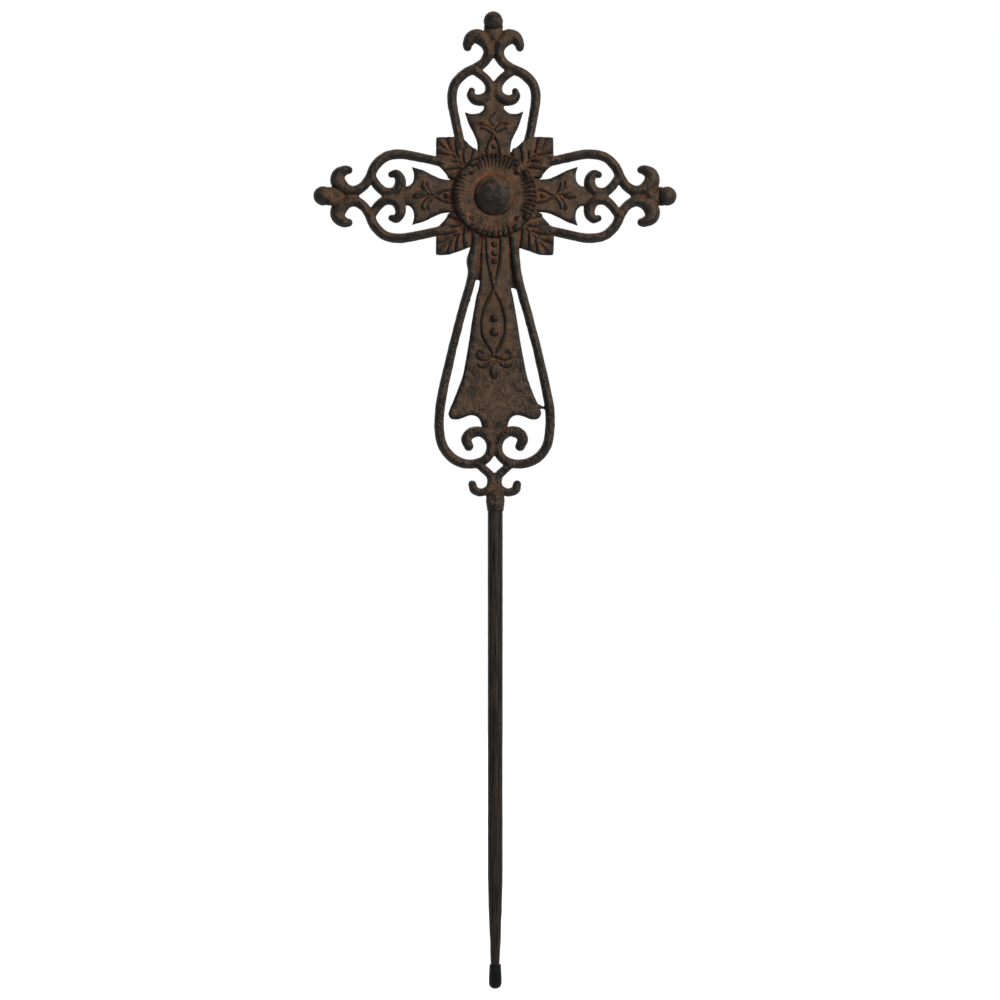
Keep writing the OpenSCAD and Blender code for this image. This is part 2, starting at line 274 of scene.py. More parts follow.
def outline_distance(outline, u, v):
    """Distance from a closed outline, less than nothing inside it."""
    nearest = np.full(u.shape, 1e9)
    inside = np.zeros(u.shape, bool)
    for (au, av), (bu, bv) in zip(outline, np.roll(outline, -1, axis=0)):
        eu, ev = bu - au, bv - av
        length = eu * eu + ev * ev
        if length < 1e-9:
            continue
        t = np.clip(((u - au) * eu + (v - av) * ev) / length, 0, 1)
        nearest = np.minimum(nearest, np.hypot(u - au - t * eu, v - av - t * ev))
        if av != bv:
            crosses = ((av > v) != (bv > v)) & (u < eu * (v - av) / ev + au)
            inside ^= crosses
    return np.where(inside, -nearest, nearest)


def ridge(path, u, v, height):
    """Height of a half-round ridge."""
    share, _ = along(path, u, v)
    return height * np.sqrt(np.clip(1 - share ** 2, 0, 1))


def bead(at, radius, u, v, height):
    """Height of a rounded bead on an arm's middle line."""
    return height * np.sqrt(np.clip(1 - ((u - at) ** 2 + v ** 2) / radius ** 2, 0, 1))


def mirrored(path, u, v, thickness):
    """A bar and its mirror image, run together where they meet."""
    one = strand(path, u, v, thickness)
    other = strand(path, u, -v, thickness)
    blend = 2.2
    return lambda h: smooth_min(one(h), other(h), blend)


def strand(path, u, v, thickness):
    """A bar with a domed front: its field at any height above the back."""
    share, half = along(path, u, v)
    tall = thickness * np.clip(half / (BAR_W / 2), 0.3, 1.05)
    power = 2.1

    def field(h):
        level = (np.maximum(h, 0) / tall) ** power
        return ((share ** power + level) ** (1 / power) - 1) * np.minimum(half, tall)
    return field


def slab(edge, top, rounding):
    """A plate with rounded edges, whose top may be carved: edge is the distance from its
    outline, and top its height."""
    def field(h):
        out = edge + rounding
        up = h - top + rounding
        return (np.minimum(np.maximum(out, up), 0)
                + np.hypot(np.maximum(out, 0), np.maximum(up, 0)) - rounding)
    return field


def carved(top, edge, rounding):
    """A slab whose carving is steep, so its field is scaled by the slope."""
    slope = np.hypot(*np.gradient(top, CELL))
    scale = 1 / np.sqrt(1 + np.minimum(slope, 2) ** 2)
    plain = slab(edge, top, rounding)

    def field(h):
        return plain(h) * scale
    return field


def ball(a, b, middle, radius):
    """A ball's field, where a and b are the distances from its middle across the slice."""
    return lambda h: np.sqrt(a * a + b * b + (h - middle) ** 2) - radius


def block_of(mask):
    """The smallest block of the grid that holds a mask, as a pair of slices."""
    i = np.flatnonzero(mask.any(axis=1))
    j = np.flatnonzero(mask.any(axis=0))
    return slice(i[0], i[-1] + 1), slice(j[0], j[-1] + 1)


class Casting:
    """The grid that the casting is worked out on, and the parts added to it."""

    def __init__(self, low, high):
        self.half_width = (high.x - low.x) / 2 / MM
        self.centre_z = high.z / MM - self.half_width - HEAD_EXTRA
        self.foot_reach = self.centre_z - low.z / MM
        self.xs = np.arange(-self.half_width - MARGIN, self.half_width + MARGIN, CELL)
        self.zs = np.arange(-self.foot_reach - MARGIN,
                            self.half_width + HEAD_EXTRA + MARGIN, CELL)
        self.hs = np.arange(-BEHIND, DOME_T + MARGIN, CELL)
        self.x, self.z = np.meshgrid(self.xs, self.zs, indexing="ij")
        self.x, self.z = self.x.astype(np.float32), self.z.astype(np.float32)
        # the pattern was cut by hand, so every line wanders a little
        wander, size = 0.35, 17
        flat = np.zeros_like(self.x)
        self.wx = self.x - SHIFT + wander * value_noise(self.x, self.z, flat, size, 1)
        self.wz = self.z + wander * value_noise(self.x, self.z, flat, size, 2)
        self.parts = []

    def arms(self):
        """Each short arm's distances out and to the side, with the side on which its bud
        leans."""
        lean = self.wx + HEAD_LEAN * self.wz / self.half_width
        left = 1 - 1.2 * SHIFT / self.half_width
        head = 1 - HEAD_EXTRA / self.half_width
        return [(self.wx, self.wz, 1), (-self.wx * left, self.wz, 1), (self.wz * head, lean, -1)]

    def foot(self):
        """The lower arm's distances out and to the side."""
        return -self.wz, self.wx

    def add(self, mask, make, blend):
        """Add a part that lies within a mask. make gets a cutter for whole-grid arrays and
        returns the part's field."""
        block = block_of(mask)
        self.parts.append((block, make(lambda grid: grid[block]), blend))

    def slices(self):
        """The field on one slice after another, from behind the back to the front."""
        for h in self.hs:
            field = np.full(self.x.shape, 9.0, np.float32)
            for block, part, blend in self.parts:
                field[block] = smooth_min(field[block], part(h), blend)
            back_edge = 1.2
            yield h, smooth_max(field, np.float32(-h), back_edge)


def add_arm(casting, u, v, bud_side):
    """One of the three short arms: its plate, scroll borders, clubs and ball."""
    plate = both_sides(np.vstack([curve(ARM_PLATE_SIDE, 1.5), curve(ARM_PLATE_END, 1)]))
    on_plate = (u > 15) & (u < 82) & (abs(v) < 28)
    on_bars = (u > 30) & (u < 136) & (abs(v) < 42)

    def make_plate(cut):
        a, b = cut(u), cut(v)
        top = PLATE_T + 0.5 * smooth_step(45, 60, a) - smooth_step(66, 74, a)
        relief = np.zeros_like(a)
        for path in ARM_RIDGES:
            relief = np.maximum(relief, ridge(path, a, abs(b), ARM_RIDGE_H))
        relief = np.maximum(relief, ridge(ARM_BUD, a, b * bud_side, ARM_BUD_H))
        for at, radius in ARM_BEADS:
            relief = np.maximum(relief, bead(at, radius, a, b, ARM_BEAD_H))
        return carved(top + relief, outline_distance(plate, a, b), 2.2)

    casting.add(on_plate, make_plate, 1.0)
    for path in (ARM_BAR, ARM_SCROLL):
        casting.add(on_bars, lambda cut: mirrored(path, cut(u), cut(v), BAR_T), 1.4)
    casting.add((u > 108) & (u < 144) & (abs(v) < 14),
                lambda cut: strand(ARM_TAIL, cut(u), cut(v), TAIL_T), 0.8)
    casting.add((u > 126) & (abs(v) < 14),
                lambda cut: ball(cut(u) - BALL_OUT, cut(v), BAR_T / 2, BALL_R), 0.5)


def add_foot(casting):
    """The long lower arm: its carved plate, scroll borders and the neck above the boss."""
    u, v = casting.foot()
    plate = both_sides(np.vstack([curve(FOOT_PLATE_SIDE, 1.5), curve(FOOT_PLATE_END, 1)]))
    neck = both_sides(np.array(FOOT_NECK, float))

    def make_plate(cut):
        a, b = cut(u), cut(v)
        top = PLATE_T + 0.5 * smooth_step(140, 170, a) - 1.3 * smooth_step(176, 188, a)
        relief = np.zeros_like(a)
        for path in FOOT_RIDGES:
            for side in (-1, 1):
                relief = np.maximum(relief, ridge(path, a, b * side, FOOT_RIDGE_H))
        bud = ridge(FOOT_BUD, a, b, FOOT_BUD_H)
        vein = ridge(FOOT_VEIN, a, b, FOOT_VEIN_H)
        relief = np.maximum(relief, bud - vein)
        for at, radius in FOOT_BEADS:
            relief = np.maximum(relief, bead(at, radius, a, b, 0.9 * radius))
        return carved(top + relief, outline_distance(plate, a, b), 2.4)

    casting.add((u > 15) & (u < 200) & (abs(v) < 42), make_plate, 1.0)
    for path in (FOOT_BAR, FOOT_SCROLL):
        casting.add((u > 22) & (u < 246) & (abs(v) < 54),
                    lambda cut: mirrored(path, cut(u), cut(v), BAR_T), 1.4)
    casting.add((u > 215) & (u < 250) & (abs(v) < 14),
                lambda cut: slab(outline_distance(neck, cut(u), cut(v)), PLATE_T, 2), 1.4)


def add_faults(casting):
    """Iron that ran where it shouldn't: fills, flash, a swelling and burrs."""
    u, v = casting.foot()
    for side, outline in WEB_FILLS.items():
        def make_fill(cut):
            a, b = cut(u), cut(v) * side
            top = FILL_T + 0.5 * value_noise(a, b, 0 * a, 3, 5 + side)
            return slab(outline_distance(np.array(outline, float), a, b), top, 1.4)
        casting.add((u > 25) & (u < 80) & (v * side > 0) & (v * side < 30), make_fill, 1.8)
    for faults, thickness in ((FLASH, FLASH_T), (SWELLING, SWELLING_T)):
        for side, path in faults.items():
            casting.add((abs(u - path[1][0]) < 14) & (abs(v * side - path[1][1]) < 12),
                        lambda cut: strand(path, cut(u), cut(v) * side, thickness), 1.2)
    for side, spots in BURRS.items():
        for at, off, radius in spots:
            casting.add(np.hypot(u - at, v * side - off) < 4,
                        lambda cut: ball(cut(u) - at, cut(v) * side - off, 2.5, radius), 0.8)


def add_leaves(casting):
    """The four square leaves between the arms, each in its own corner."""
    corner = [LEAF_CORNER]
    beside_arm = np.array(LEAF_ARM_SIDE, float)

    def add_leaf(across, up):
        other = np.array(LEAF_FOOT_SIDE if up < 0 else LEAF_ARM_SIDE, float)
        outline = np.vstack([beside_arm, corner, other[::-1, ::-1]])

        def make_leaf(cut):
            a, b = cut(casting.wx) * across, cut(casting.wz) * up
            p, q = (a + b) / math.sqrt(2), (a - b) / math.sqrt(2)
            relief = ridge(LEAF_MIDRIB, p, q, MIDRIB_H)
            for path in LEAF_LOBES:
                relief = np.maximum(relief, ridge(path, p, abs(q), LOBE_H))
            return carved(LEAF_T + relief, outline_distance(outline, a, b), 1.3)

        near = (casting.x * across > 5) & (casting.z * up > 5)
        near &= (abs(casting.x) < 52) & (abs(casting.z) < 52)
        casting.add(near, make_leaf, 0.9)

    for across in (-1, 1):
        for up in (-1, 1):
            add_leaf(across, up)


def flute_turn(angle):
    """How many flutes lie before an angle, in each quarter's own spacing, and how far the
    angle is from the nearest diagonal."""
    quarter = np.floor((angle + math.pi / 4) / (math.pi / 2)).astype(int) % 4
    within = (angle + math.pi / 4) / (math.pi / 2) % 1
    turns = np.choose(quarter, FLUTES) * within
    return turns, (0.5 - abs(within - 0.5)) * math.pi / 2


def rosette_height(x, z):
    """Height of the rosette above the flat back, and a radius that follows its scalloped rim:
    dome, dish, fluted slope and crest, with a trefoil of beads on each diagonal."""
    r = np.hypot(x, z)
    turns, off_diagonal = flute_turn(np.arctan2(z, x))
    dish = DISH_T
    for out, width in DISH_RINGS:
        dish = dish + DISH_RING_H * np.exp(-((r - out) / width) ** 2)
    slope = smooth_step(21, 30, r)
    crest = dish + CREST_H * slope - 7 * smooth_step(31.6, 35.4, r) ** 1.5
    lump = np.abs(np.sin(math.pi * (turns + 0.012 * (r - 26)))) ** 0.6
    depth = 1.3 * smooth_step(21.5, 25, r) + 1.9 * smooth_step(28, 31, r)
    clear = smooth_step(0.2, 0.3, off_diagonal)
    crest += 0.7 * smooth_step(27.5, 29.5, r)
    height = crest - depth * (1 - lump) * clear - 1.6 * smooth_step(22, 25, r) * (1 - clear)
    for corner in range(4):
        for turn, out, radius in TREFOIL:
            at = math.radians(45 + 90 * corner + turn)
            away = np.hypot(x - out * math.cos(at), z - out * math.sin(at))
            cap = np.sqrt(np.clip(1 - (away / radius) ** 2, 0, 1))
            base = 6.8 + 0.35 * (out - TREFOIL[0][1])
            height = np.where(away < radius, np.maximum(height, base + radius * 0.9 * cap),
                              height)
    rise = np.clip(1 - (r / DOME_R) ** 2, 0, 1) ** 0.62
    dome = DOME_FOOT_T + (DOME_T - DOME_FOOT_T) * rise
    dent = 0.3
    dome += dent * value_noise(x, z, 0 * x, 4.5, 8) - dent
    height = np.where(r < DOME_R, dome, height)
    return height, r + 0.7 * (1 - lump) * clear


def add_rosette(casting):
    def make_rosette(cut):
        height, r = rosette_height(cut(casting.wx), cut(casting.wz))
        return carved(height, r - ROSETTE_R, 1.2)
    casting.add(np.hypot(casting.x, casting.z) < ROSETTE_R + 3, make_rosette, 0.5)


def boss(casting, block):
    """The ogive boss and the bead of the weld, round about the rod's axis."""
    s, v = -casting.z[block], casting.x[block]
    middle = casting.foot_reach - BOSS_L / 2
    past_middle = (s - middle) / (BOSS_L / 2)
    folds = sum(0.8 * np.clip(1 - along(path, s, v)[0] ** 2 / 4, 0, 1) for path in BOSS_FOLDS)
    narrowing = 1.15

    def field(h):
        r = np.hypot(v, BACK_Y - h)
        point = (np.sqrt((r / BOSS_R) ** 2 + past_middle ** 2) - 1) * BOSS_R
        cone = r - BOSS_R + narrowing * np.clip(past_middle, 0, 1) ** 1.5
        made = np.where(s < middle, point, cone)
        if h > BACK_Y:
            made = made + folds
        weld = np.hypot(r - WELD_R, s - casting.foot_reach + WELD_BEAD_R) - WELD_BEAD_R
        return smooth_max(smooth_min(made, weld, 0.6), s - casting.foot_reach, 0.3)
    return field


def blur(grid, radius):
    """A soft blur: a running mean, taken twice along each axis."""
    n = max(1, round(radius / CELL))
    width = 2 * n + 1
    for axis in (0, 1, 2) * 2:
        pad = [(0, 0)] * 3
        pad[axis] = (n + 1, n)
        total = np.cumsum(np.pad(grid, pad, mode="edge"), axis=axis, dtype=np.float64)
        total = np.moveaxis(total, axis, 0)
        mean = (total[width:] - total[:-width]) / width
        grid = np.moveaxis(mean, 0, axis).astype(np.float32)
    return grid


def wrinkles(x, z, h):
    """Narrow winding grooves like those of leather, from 0 to 1, deepest low down on the
    lower plate and none near the back."""
    groove = np.clip(1 - 4 * abs(value_noise(x, z, h, 2.5, 6)), 0, 1)
    return groove * (0.3 + 0.7 * smooth_step(80, 130, -z)) * smooth_step(2, 4.5, h)


def roughen(field, casting, h):
    """The skin that the sand left: lumps all over, and on the front a finer one."""
    near = np.abs(field) < FAR
    x, z = casting.x[near], casting.z[near]
    y = np.full_like(x, h)
    lumps = value_noise(x, z, y, 3.4, 3)
    if h < 1:
        field[near] += 0.22 * lumps
        return
    fine = value_noise(x, z, y, 1.5, 4)
    field[near] += 0.12 * lumps + 0.06 * fine + 0.45 * wrinkles(x, z, y)


def filled_volume(casting):
    """The casting's field on the whole grid, with the boss and the rough skin."""
    near_boss = (casting.z < BOSS_L + 6 - casting.foot_reach) & (abs(casting.x) < 12)
    block = block_of(near_boss)
    boss_field = boss(casting, block)
    volume = np.empty((*casting.x.shape, len(casting.hs)), np.float32)
    for k, (h, field) in enumerate(casting.slices()):
        field[block] = smooth_min(field[block], boss_field(h), 0.6)
        roughen(field, casting, h)
        volume[:, :, k] = np.clip(field, -FAR, FAR)
    return volume


def measured_looks(volume, cell, x, z, height):
    """What the material goes by at each point. crease and hollow are more than nothing in
    creases and hollows, and less than nothing on edges and ridges."""
    radius = np.hypot(x, z)
    under_rim = np.exp(-((radius - 19) / 2.2) ** 2) * smooth_step(0.2, 0.8, z / radius)
    return {
        "crease": (volume - blur(volume, 1))[cell] + 0.3 * under_rim,
        "hollow": (volume - blur(volume, 3))[cell],
        "proud": smooth_step(8.5, 10.5, height) * (radius < ROSETTE_R + 1),
        "wrinkle": wrinkles(x, z, height) * (height > 1)}


def build_casting(low, high):
    """The casting's points, faces and looks, inside the box that the frame gives."""
    casting = Casting(low, high)
    for u, v, bud_side in casting.arms():
        add_arm(casting, u, v, bud_side)
    add_foot(casting)
    add_faults(casting)
    add_leaves(casting)
    add_rosette(casting)

    volume = filled_volume(casting)
    grid = openvdb.FloatGrid(FAR)
    grid.copyFromArray(volume, tolerance=0.0)
    points, triangles, quads = grid.convertToPolygons(isovalue=0.0, adaptivity=0.01)
    x = casting.xs[0] + points[:, 0] * CELL
    z = casting.zs[0] + points[:, 1] * CELL
    height = casting.hs[0] + points[:, 2] * CELL
    where = np.stack([x, BACK_Y - height, z + casting.centre_z], axis=1) * MM
    faces = [list(map(int, f)) for f in triangles] + [list(map(int, f)) for f in quads]
    cell = tuple(np.clip(np.round(points).astype(int), 0, np.array(volume.shape) - 1).T)
    looks = measured_looks(volume, cell, x, z, height)
    inset = 0.02 * MM
    return np.clip(where, low, [edge - inset for edge in high]), faces, looks


def new_object(name, points, faces):
    mesh = bpy.data.meshes.new(name)
    mesh.from_pydata(points.tolist() if isinstance(points, np.ndarray) else points, [], faces)
    mesh.validate()
    mesh.update()
    piece = bpy.data.objects.new(name, mesh)
    bpy.context.collection.objects.link(piece)
    return piece


def set_attribute(mesh, name, values):
    made = mesh.attributes.new(name, "FLOAT", "POINT")
    made.data.foreach_set("value", np.ascontiguousarray(values, np.float32))


def read_vertices(mesh, name):
    values = np.empty(len(mesh.vertices) * 3, np.float32)
    mesh.vertices.foreach_get(name, values)
    return values.reshape(-1, 3)


def thin(piece, triangles):
    """Collapse edges until the piece has about that many triangles."""
    count = sum(len(p.vertices) - 2 for p in piece.data.polygons)
    modifier = piece.modifiers.new("thin", "DECIMATE")
    modifier.ratio = min(1, triangles / count)
    shown = piece.evaluated_get(bpy.context.evaluated_depsgraph_get())
    mesh = bpy.data.meshes.new_from_object(shown)
    piece.modifiers.clear()
    piece.data = mesh


def drop_specks(mesh):
    """Join the points that thinning left in one place and delete the loose specks, so that
    the skin is one closed sheet."""
    made = bmesh.new()
    made.from_mesh(mesh)
    same_place = 0.002 * MM
    bmesh.ops.remove_doubles(made, verts=made.verts, dist=same_place)
    made.faces.ensure_lookup_table()
    start = max(made.faces, key=lambda face: face.calc_center_median().z)
    kept, waiting = {start}, [start]
    while waiting:
        for edge in waiting.pop().edges:
            if len(edge.link_faces) == 2:
                for face in edge.link_faces:
                    if face not in kept:
                        kept.add(face)
                        waiting.append(face)
    specks = [face for face in made.faces if face not in kept]
    bmesh.ops.delete(made, geom=specks, context="FACES")
    made.to_mesh(mesh)
    made.free()


def mark_directions(mesh):
    """Tell the material which way each point faces, for painted shade: what faces down and to
    the left, away from the key lamp, the steep sides and the filled webs, which lie deep between
    the bars, are painted darker."""
    points = read_vertices(mesh, "co")
    normals = read_vertices(mesh, "normal")
    # Painted shade: what faces down and to the left, away from the key lamp, is painted darker
    # by the material
    set_attribute(mesh, "shaded_facing", -0.7 * normals[:, 2] - 0.5 * normals[:, 0])
    # Painted shade on the steep sides and on the filled webs that lie deep between the bars
    side = 1 - smooth_step(0.3, 0.75, abs(normals[:, 1]))
    height = BACK_Y - points[:, 1] / MM
    sunk_web_shade = smooth_step(0.3, 0.7, -normals[:, 1]) * (1 - smooth_step(FILL_T, FILL_T + 1, height))
    set_attribute(mesh, "side", np.maximum(side, sunk_web_shade))


def make_cross():
    """The casting, as one piece."""
    points, faces, looks = build_casting(*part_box("cross"))
    piece = new_object("cross_casting", points, faces)
    for name, values in looks.items():
        set_attribute(piece.data, name, values)
    thin(piece, TRIANGLES)
    drop_specks(piece.data)
    for polygon in piece.data.polygons:
        polygon.use_smooth = True
    mark_directions(piece.data)
    return piece


def turned(name, profile, sides, shape):
    """A solid of revolution with closed ends. profile lists radius and height, and shape
    moves the rings' points."""
    angle = np.arange(sides) * 2 * math.pi / sides
    radius = np.array([p[0] for p in profile])[:, None]
    height = np.array([p[1] for p in profile])[:, None] + 0 * angle
    x, y, z = shape(radius, angle[None, :], height)
    points = np.stack([x, y, z], axis=2).reshape(-1, 3) * MM
    faces = []
    for ring in range(len(profile) - 1):
        for side in range(sides):
            a = ring * sides + side
            b = ring * sides + (side + 1) % sides
            faces.append((a, b, b + sides, a + sides))
    faces.append(tuple(range(sides))[::-1])
    faces.append(tuple(range(len(profile) * sides - sides, len(profile) * sides)))
    piece = new_object(name, points, faces)
    for polygon in piece.data.polygons:
        polygon.use_smooth = len(polygon.vertices) == 4
    return piece


def make_rod():
    """The steel rod: rolled round bar, hammered down to its neck."""
    low, high = (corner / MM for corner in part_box("rod"))
    mouth_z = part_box("cap")[1].z / MM
    radius = high.x
    heights = np.concatenate([
        [low.z, low.z + 0.3, low.z + 1], np.arange(low.z + 2, high.z, 0.8), [high.z]])
    t = np.clip((heights - mouth_z) / TAPER_L, 0, 1)
    radii = NECK_R + (radius - NECK_R) * (t + np.sin(t * math.pi / 2)) / 2
    inside = heights < mouth_z
    radii[inside] = NOSE_R + (NECK_R - NOSE_R) * (heights[inside] - low.z) / (mouth_z - low.z)
    # the tip's edge is rounded off
    radii[0] = NOSE_R - 0.9
    radii[1] = NOSE_R - 0.3

    def shape(r, angle, z):
        hammered = 1 - smooth_step(mouth_z + 20, mouth_z + TAPER_L + 15, z)
        x, y = np.cos(angle) + 0 * z, np.sin(angle) + 0 * z
        dents = value_noise(3 * x, 3 * y, z / 5, 1.6, 11) * 0.22 * hammered
        scale = value_noise(6 * x, 6 * y, z / 6, 1, 12) * 0.05
        out = r + np.where(z > mouth_z, dents - 0.1 * hammered + scale, -0.02)
        return out * x, out * y, z
    return turned("stake_rod", list(zip(radii, heights)), 72, shape)


def make_cap():
    """The rubber cap, with a rounded mouth and floor, hollow where the rod stands in it."""
    low, high = (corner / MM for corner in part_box("cap"))
    rod_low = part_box("rod")[0].z / MM
    length = high.z - low.z
    foot_r = high.x
    bottom = [(foot_r - CAP_FLOOR_ROUND * (1 - math.cos(a)),
               low.z + CAP_FLOOR_ROUND * (1 - math.sin(a)))
              for a in np.linspace(math.pi / 2, 0, 14)]
    side = [(foot_r + (CAP_MOUTH_R - foot_r) * t ** 1.3, low.z + length * (0.36 + 0.58 * t))
            for t in np.linspace(0, 1, 16)]
    lip = [(CAP_MOUTH_R - 0.45 + 0.45 * math.cos(a), high.z - 0.5 + 0.5 * math.sin(a))
           for a in np.linspace(0.2, math.pi / 2, 6)]
    bore_r = CAP_MOUTH_R - CAP_WALL
    bore = [(bore_r, high.z - 0.15), (bore_r, high.z - 1), (NOSE_R + 0.1, rod_low + 1),
            (NOSE_R - 0.9, rod_low)]

    def shape(r, angle, z):
        return r * np.cos(angle), r * np.sin(angle), z
    return turned("stake_cap", bottom + side + lip + bore, 64, shape)


class Nodes:
    """A short way to write a material's nodes."""

    def __init__(self, name):
        self.material = bpy.data.materials.new(name)
        self.material.use_nodes = True
        self.tree = self.material.node_tree
        self.shader = self.tree.nodes["Principled BSDF"]
        self.place = self.add("ShaderNodeTexCoord").outputs["Object"]

    def add(self, kind, **settings):
        node = self.tree.nodes.new(kind)
        for key, value in settings.items():
            setattr(node, key, value)
        return node

    def join(self, source, target):
        self.tree.links.new(source, target)

    def fill(self, socket, value):
        if isinstance(value, bpy.types.NodeSocket):
            self.join(value, socket)
        else:
            socket.default_value = value

    def noise(self, size, detail=4, roughness=0.55, stretch=(1, 1, 1)):
        """Noise whose lumps are about size millimetres."""
        scaled = self.add("ShaderNodeMapping")
        scaled.inputs["Scale"].default_value = stretch
        self.join(self.place, scaled.inputs["Vector"])
        node = self.add("ShaderNodeTexNoise")
        self.join(scaled.outputs["Vector"], node.inputs["Vector"])
        node.inputs["Scale"].default_value = 1 / (size * MM)
        node.inputs["Detail"].default_value = detail
        node.inputs["Roughness"].default_value = roughness
        return node.outputs["Fac"]

    def math(self, operation, a, b=0.0):
        node = self.add("ShaderNodeMath", operation=operation)
        self.fill(node.inputs[0], a)
        self.fill(node.inputs[1], b)
        return node.outputs[0]

    def total(self, *terms):
        """The sum of pairs of a value and its weight."""
        made = [self.math("MULTIPLY", value, weight) for value, weight in terms]
        while len(made) > 1:
            made = [self.math("ADD", made[0], made[1]), *made[2:]]
        return made[0]

    def band(self, value, low, high, start=0.0, end=1.0):
        """Value taken smoothly from low to high into start to end."""
        node = self.add("ShaderNodeMapRange", interpolation_type="SMOOTHSTEP")
        self.fill(node.inputs["Value"], value)
        for key, number in zip(("From Min", "From Max", "To Min", "To Max"),
                               (low, high, start, end)):
            node.inputs[key].default_value = number
        return node.outputs["Result"]

    def mix(self, share, a, b):
        node = self.add("ShaderNodeMix", data_type="RGBA")
        self.fill(node.inputs["Factor"], share)
        self.fill(node.inputs[6], a)
        self.fill(node.inputs[7], b)
        return node.outputs[2]

    def bump(self, height, distance, normal=None):
        node = self.add("ShaderNodeBump")
        node.inputs["Distance"].default_value = distance * MM
        self.join(height, node.inputs["Height"])
        if normal:
            self.join(normal, node.inputs["Normal"])
        return node.outputs["Normal"]


def colour(red, green, blue):
    """A colour as it shows on a screen, 0 to 255, in the renderer's own scale."""
    def linear(c):
        c = c / 255
        return c / 12.92 if c <= 0.04045 else ((c + 0.055) / 1.055) ** 2.4
    return (linear(red), linear(green), linear(blue), 1)


def cast_iron():
    """Old cast iron: dark on its ridges, brown on its faces, orange rust in its creases. Its
    sides, the sunk webs and what faces down and to the left, away from the key lamp, get painted
    shade."""
    n = Nodes("rusted_cast_iron")
    crease, hollow, proud, wrinkle, shaded_facing, side = [
        n.add("ShaderNodeAttribute", attribute_name=name).outputs["Fac"]
        for name in ("crease", "hollow", "proud", "wrinkle", "shaded_facing", "side")]
    patches = n.noise(7, 5, 0.6)
    specks = n.noise(1.5, 4, 0.65)
    uneven = n.total((n.noise(30, 3), 0.7), (patches, 1), (specks, 0.6), (1, -1.15),
                     (wrinkle, -0.25))
    # Painted shade: what faces down and to the left keeps less brown and less rust, so it stays
    # black
    brown_drive = n.total((crease, 1.4), (hollow, 0.9), (proud, -0.5), (uneven, 1),
                          (shaded_facing, -0.9))
    brown = n.band(brown_drive, -0.7, 0.0)
    rust_drive = n.total((crease, n.band(shaded_facing, -0.6, 0, 3.4, 2.2)), (hollow, 0.3),
                         (uneven, 1))
    rust = n.band(rust_drive, 0.26, 1.15, 0, 0.8)
    mottled = n.band(n.total((specks, 0.5), (patches, 0.5)), 0.34, 0.66)
    bare = n.mix(mottled, colour(9, 8, 7), colour(40, 34, 28))
    faces = n.mix(mottled, colour(45, 35, 26), colour(84, 66, 51))
    orange = n.mix(mottled, colour(72, 40, 25), colour(120, 68, 42))
    base = n.mix(rust, n.mix(brown, bare, faces), orange)
    # Painted shade: sides turned away from the key lamp and the sunk webs are mixed towards
    # near-black; the wrinkle grooves are darkened half as much
    side_shade = n.math("MULTIPLY", side, n.band(shaded_facing, -0.5, 0.3, 0.4, 0.9))
    dark = n.math("MAXIMUM", side_shade, n.math("MULTIPLY", wrinkle, 0.5))
    base = n.mix(dark, base, colour(17, 11, 8))
    n.join(base, n.shader.inputs["Base Color"])
    roughness = n.math("MAXIMUM", n.band(brown_drive, -0.6, 0.1, 0.26, 0.65),
                       n.math("MULTIPLY", side, 0.7))
    n.join(roughness, n.shader.inputs["Roughness"])
    n.shader.inputs["Specular IOR Level"].default_value = 0.1
    grain = n.bump(n.noise(0.9, 4, 0.7), 0.3)
    n.join(n.bump(patches, 0.4, grain), n.shader.inputs["Normal"])
    return n.material


def rod_steel():
    """Mill-scaled steel bar, streaked along its length, with brown patches."""
    n = Nodes("scaled_steel")
    streaks = n.noise(1.6, 4, 0.6, (1, 1, 0.06))
    patches = n.noise(9, 4, 0.6, (1, 1, 0.4))
    specks = n.noise(0.9, 3, 0.6)
    grey = n.mix(n.band(streaks, 0.35, 0.65), colour(11, 10, 9), colour(40, 36, 31))
    brown = n.mix(n.band(specks, 0.35, 0.7), colour(34, 25, 19), colour(60, 43, 32))
    drive = n.math("ADD", n.math("MULTIPLY", streaks, 0.6), n.math("MULTIPLY", patches, 0.5))
    n.join(n.mix(n.band(drive, 0.5, 0.72, 0, 0.85), grey, brown), n.shader.inputs["Base Color"])
    n.join(n.band(drive, 0.4, 0.75, 0.28, 0.45), n.shader.inputs["Roughness"])
    n.shader.inputs["Specular IOR Level"].default_value = 0.08
    fine = n.bump(specks, 0.06)
    n.join(n.bump(streaks, 0.15, fine), n.shader.inputs["Normal"])
    return n.material


def black_rubber():
    """Dull black moulded rubber, a little dusty."""
    n = Nodes("black_rubber")
    dust = n.noise(4, 4, 0.6)
    grain = n.noise(0.5, 3, 0.6)
    n.join(n.mix(n.band(dust, 0.4, 0.75), colour(2, 3, 4), colour(10, 11, 13)),
           n.shader.inputs["Base Color"])
    n.join(n.band(dust, 0.3, 0.7, 0.25, 0.35), n.shader.inputs["Roughness"])
    n.shader.inputs["Specular IOR Level"].default_value = 0.08
    n.join(n.bump(grain, 0.05), n.shader.inputs["Normal"])
    return n.material


def white_rays(tree, plain):
    """Adds a strength that is 1 to the camera, mirrors and glass, and plain to other rays."""
    path = tree.nodes.new("ShaderNodeLightPath")
    total = path.outputs["Is Camera Ray"]
    for name in ("Is Glossy Ray", "Is Transmission Ray"):
        add = tree.nodes.new("ShaderNodeMath")
        add.operation = "MAXIMUM"
        tree.links.new(total, add.inputs[0])
        tree.links.new(path.outputs[name], add.inputs[1])
        total = add.outputs[0]
    spread = tree.nodes.new("ShaderNodeMapRange")
    tree.links.new(total, spread.inputs["Value"])
    spread.inputs["To Min"].default_value = plain
    spread.inputs["To Max"].default_value = 1
    return spread.outputs["Result"]


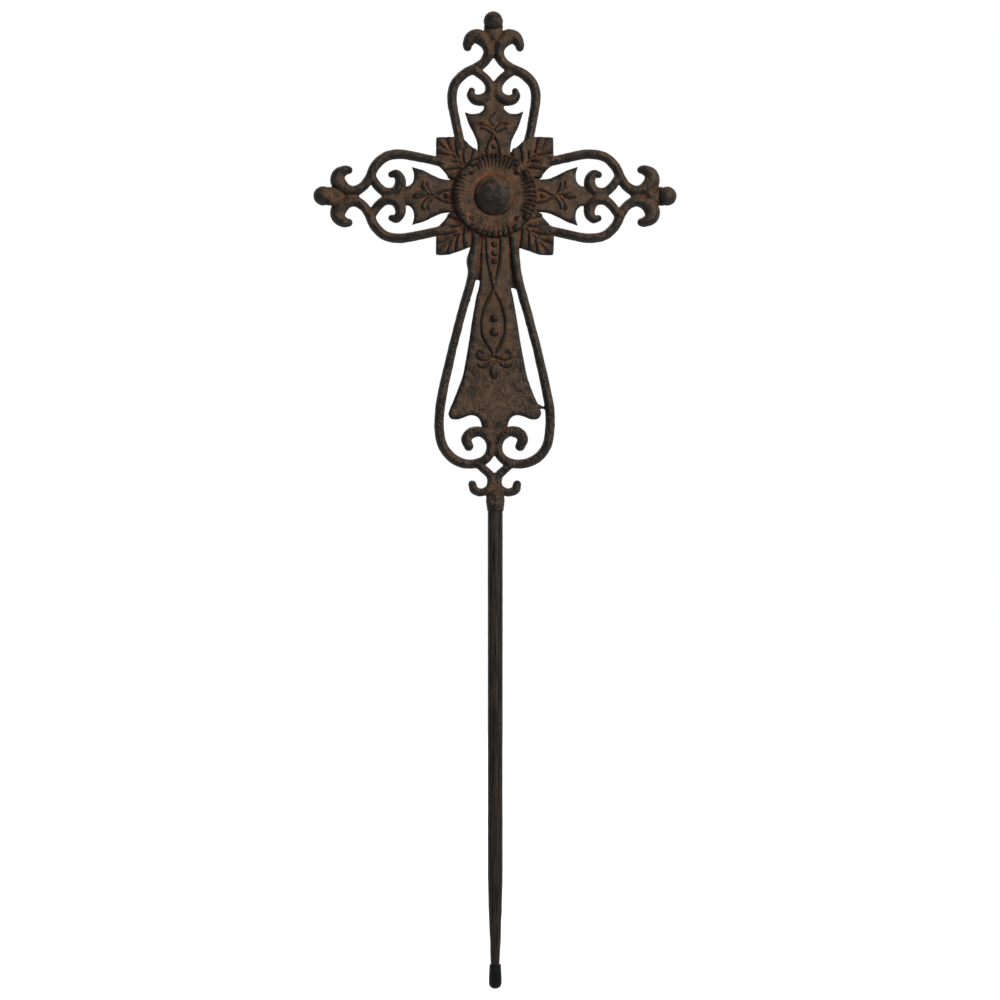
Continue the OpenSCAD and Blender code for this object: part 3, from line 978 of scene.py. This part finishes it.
def make_floor(level):
    """A white floor that takes the object's shadow near it and fades into the backdrop."""
    size = 6
    floor = new_object("floor", [(-size, -size, level), (size, -size, level),
                                 (size, size, level), (-size, size, level)], [(0, 1, 2, 3)])
    n = Nodes("white_floor")
    n.shader.inputs["Base Color"].default_value = (0.6, 0.6, 0.6, 1)
    n.shader.inputs["Roughness"].default_value = 0.9
    n.shader.inputs["Specular IOR Level"].default_value = 0
    n.shader.inputs["Emission Color"].default_value = (1, 1, 1, 1)
    away = n.add("ShaderNodeVectorMath", operation="LENGTH")
    n.join(n.place, away.inputs[0])
    near, far = 1, 2.5
    glow = n.band(away.outputs["Value"], near, far, 0.8, 1)
    n.join(n.math("MULTIPLY", white_rays(n.tree, 0), glow), n.shader.inputs["Emission Strength"])
    floor.data.materials.append(n.material)


def make_world():
    """A white backdrop that lights the object only a little."""
    plain = 0.08
    world = bpy.data.worlds.new("studio")
    bpy.context.scene.world = world
    world.use_nodes = True
    background = world.node_tree.nodes["Background"]
    background.inputs["Color"].default_value = (1, 1, 1, 1)
    world.node_tree.links.new(white_rays(world.node_tree, plain), background.inputs["Strength"])


def aim(thing, place, target):
    """Put a lamp or camera in its place, facing the target."""
    thing.location = place
    thing.rotation_mode = "QUATERNION"
    thing.rotation_quaternion = (Vector(target) - Vector(place)).to_track_quat("-Z", "Y")
    bpy.context.collection.objects.link(thing)


def make_lamp(name, place, target, width, height, power):
    data = bpy.data.lights.new(name, "AREA")
    data.shape = "RECTANGLE"
    data.size = width
    data.size_y = height
    data.energy = power
    aim(bpy.data.objects.new(name, data), place, target)


def make_camera(low, high):
    """Straight in front, framed so that the whole object fills the picture's height."""
    distance = 2.3
    air = 1.0235
    to_the_right = 0.0038
    width = (high.z - low.z) * air
    target = Vector((to_the_right, 0, (low.z + high.z) / 2))
    data = bpy.data.cameras.new("camera")
    data.sensor_width = 36
    data.lens = data.sensor_width * distance / width
    camera = bpy.data.objects.new("camera", data)
    aim(camera, target - Vector((0, distance, 0)), target)
    bpy.context.scene.camera = camera


def main():
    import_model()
    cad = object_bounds()
    pieces = [
        (make_cross(), "cross", "cast_iron", cast_iron()),
        (make_rod(), "rod", "steel", rod_steel()),
        (make_cap(), "cap", "rubber", black_rubber())]
    for piece, node, slot, material in pieces:
        piece.data.materials.append(material)
        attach(piece, "root")
        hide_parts(node)

    low, high = cad
    middle = (low + high) / 2
    gap = 0.5 * MM
    make_floor(low.z - gap)
    make_world()
    make_lamp("key", middle + Vector((1.2, -1.65, 0.75)), middle, 0.26, 1.4, 54)
    make_lamp("fill", middle + Vector((-1.4, -1.5, 0.3)), middle, 0.12, 0.6, 3.5)
    make_lamp("back", middle + Vector((-0.3, 2, 0.9)), middle, 1.2, 1.2, 36)
    make_camera(low, high)
    bpy.context.scene.view_settings.view_transform = "Standard"


main()
